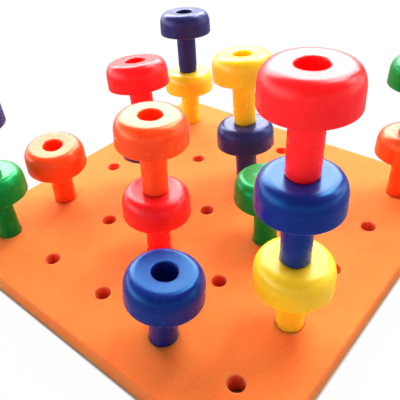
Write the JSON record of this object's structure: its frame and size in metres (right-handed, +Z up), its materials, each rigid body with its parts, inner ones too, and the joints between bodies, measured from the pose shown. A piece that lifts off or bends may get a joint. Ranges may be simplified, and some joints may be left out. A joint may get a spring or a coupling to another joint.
{
  "type": "pegboard",
  "caption": "Square foam pegboard with a grid of round holes and stackable mushroom-headed plastic pegs that plug into the holes and into each other.",
  "frame": {"origin": "centre of the board's underside, on the surface that the board lies on", "axes": "+Z up out of the board's top, +X along its rows of holes to the right, +Y along its columns to the back"},
  "size_m": [0.2, 0.2, 0.1247],
  "materials": {
    "foam": "matte closed-cell foam with fine pits",
    "red_plastic": "glossy solid red moulded plastic",
    "orange_plastic": "glossy solid orange moulded plastic",
    "yellow_plastic": "glossy solid yellow moulded plastic",
    "green_plastic": "glossy solid green moulded plastic",
    "blue_plastic": "glossy solid blue moulded plastic",
    "purple_plastic": "glossy solid purple moulded plastic"
  },
  "bodies": {
    "foam_board": {"foam_board": "foam"},
    "yellow_peg_1": {"yellow_peg_1": "yellow_plastic"},
    "purple_peg_1": {"purple_peg_1": "purple_plastic"},
    "purple_peg_2": {"purple_peg_2": "purple_plastic"},
    "yellow_peg_2": {"yellow_peg_2": "yellow_plastic"},
    "orange_peg_1": {"orange_peg_1": "orange_plastic"},
    "green_peg_1": {"green_peg_1": "green_plastic"},
    "purple_peg_3": {"purple_peg_3": "purple_plastic"},
    "red_peg_1": {"red_peg_1": "red_plastic"},
    "green_peg_2": {"green_peg_2": "green_plastic"},
    "orange_peg_2": {"orange_peg_2": "orange_plastic"},
    "red_peg_2": {"red_peg_2": "red_plastic"},
    "orange_peg_3": {"orange_peg_3": "orange_plastic"},
    "yellow_peg_3": {"yellow_peg_3": "yellow_plastic"},
    "blue_peg_1": {"blue_peg_1": "blue_plastic"},
    "red_peg_3": {"red_peg_3": "red_plastic"},
    "green_peg_3": {"green_peg_3": "green_plastic"},
    "purple_peg_4": {"purple_peg_4": "purple_plastic"},
    "blue_peg_2": {"blue_peg_2": "blue_plastic"}
  },
  "joints": [
    {"name": "yellow_peg_1_lift", "type": "slide", "parent": "foam_board", "child": "yellow_peg_1", "axis": [-0.0349, 0.0436, 0.9984], "range_m": [0, 0.012]},
    {"name": "purple_peg_1_lift", "type": "slide", "parent": "yellow_peg_1", "child": "purple_peg_1", "axis": [-0.0349, 0.0436, 0.9984], "range_m": [0, 0.012]},
    {"name": "purple_peg_2_lift", "type": "slide", "parent": "foam_board", "child": "purple_peg_2", "axis": [-0.061, 0.0261, 0.9978], "range_m": [0, 0.012]},
    {"name": "yellow_peg_2_lift", "type": "slide", "parent": "purple_peg_2", "child": "yellow_peg_2", "axis": [-0.061, 0.0261, 0.9978], "range_m": [0, 0.012]},
    {"name": "orange_peg_1_lift", "type": "slide", "parent": "foam_board", "child": "orange_peg_1", "axis": [-0.0174, 0.0523, 0.9985], "range_m": [0, 0.012]},
    {"name": "green_peg_1_lift", "type": "slide", "parent": "orange_peg_1", "child": "green_peg_1", "axis": [-0.0174, 0.0523, 0.9985], "range_m": [0, 0.012]},
    {"name": "purple_peg_3_lift", "type": "slide", "parent": "foam_board", "child": "purple_peg_3", "axis": [-0.113, 0.052, 0.9922], "range_m": [0, 0.012]},
    {"name": "red_peg_1_lift", "type": "slide", "parent": "purple_peg_3", "child": "red_peg_1", "axis": [-0.113, 0.052, 0.9922], "range_m": [0, 0.012]},
    {"name": "green_peg_2_lift", "type": "slide", "parent": "foam_board", "child": "green_peg_2", "axis": [-0.0087, 0.0523, 0.9986], "range_m": [0, 0.012]},
    {"name": "orange_peg_2_lift", "type": "slide", "parent": "foam_board", "child": "orange_peg_2", "axis": [0.0871, -0.0435, 0.9953], "range_m": [0, 0.012]},
    {"name": "red_peg_2_lift", "type": "slide", "parent": "foam_board", "child": "red_peg_2", "axis": [0.0436, 0.0262, 0.9987], "range_m": [0, 0.012]},
    {"name": "orange_peg_3_lift", "type": "slide", "parent": "red_peg_2", "child": "orange_peg_3", "axis": [0.0436, 0.0262, 0.9987], "range_m": [0, 0.012]},
    {"name": "yellow_peg_3_lift", "type": "slide", "parent": "foam_board", "child": "yellow_peg_3", "axis": [0.0087, -0.0087, 0.9999], "range_m": [0, 0.012]},
    {"name": "blue_peg_1_lift", "type": "slide", "parent": "yellow_peg_3", "child": "blue_peg_1", "axis": [0.0087, -0.0087, 0.9999], "range_m": [0, 0.012]},
    {"name": "red_peg_3_lift", "type": "slide", "parent": "blue_peg_1", "child": "red_peg_3", "axis": [0.0087, -0.0087, 0.9999], "range_m": [0, 0.012]},
    {"name": "green_peg_3_lift", "type": "slide", "parent": "foam_board", "child": "green_peg_3", "axis": [-0.0349, 0.0087, 0.9994], "range_m": [0, 0.012]},
    {"name": "purple_peg_4_lift", "type": "slide", "parent": "green_peg_3", "child": "purple_peg_4", "axis": [-0.0349, 0.0087, 0.9994], "range_m": [0, 0.012]},
    {"name": "blue_peg_2_lift", "type": "slide", "parent": "foam_board", "child": "blue_peg_2", "axis": [0.0782, 0.0782, 0.9939], "range_m": [0, 0.012]}
  ]
}
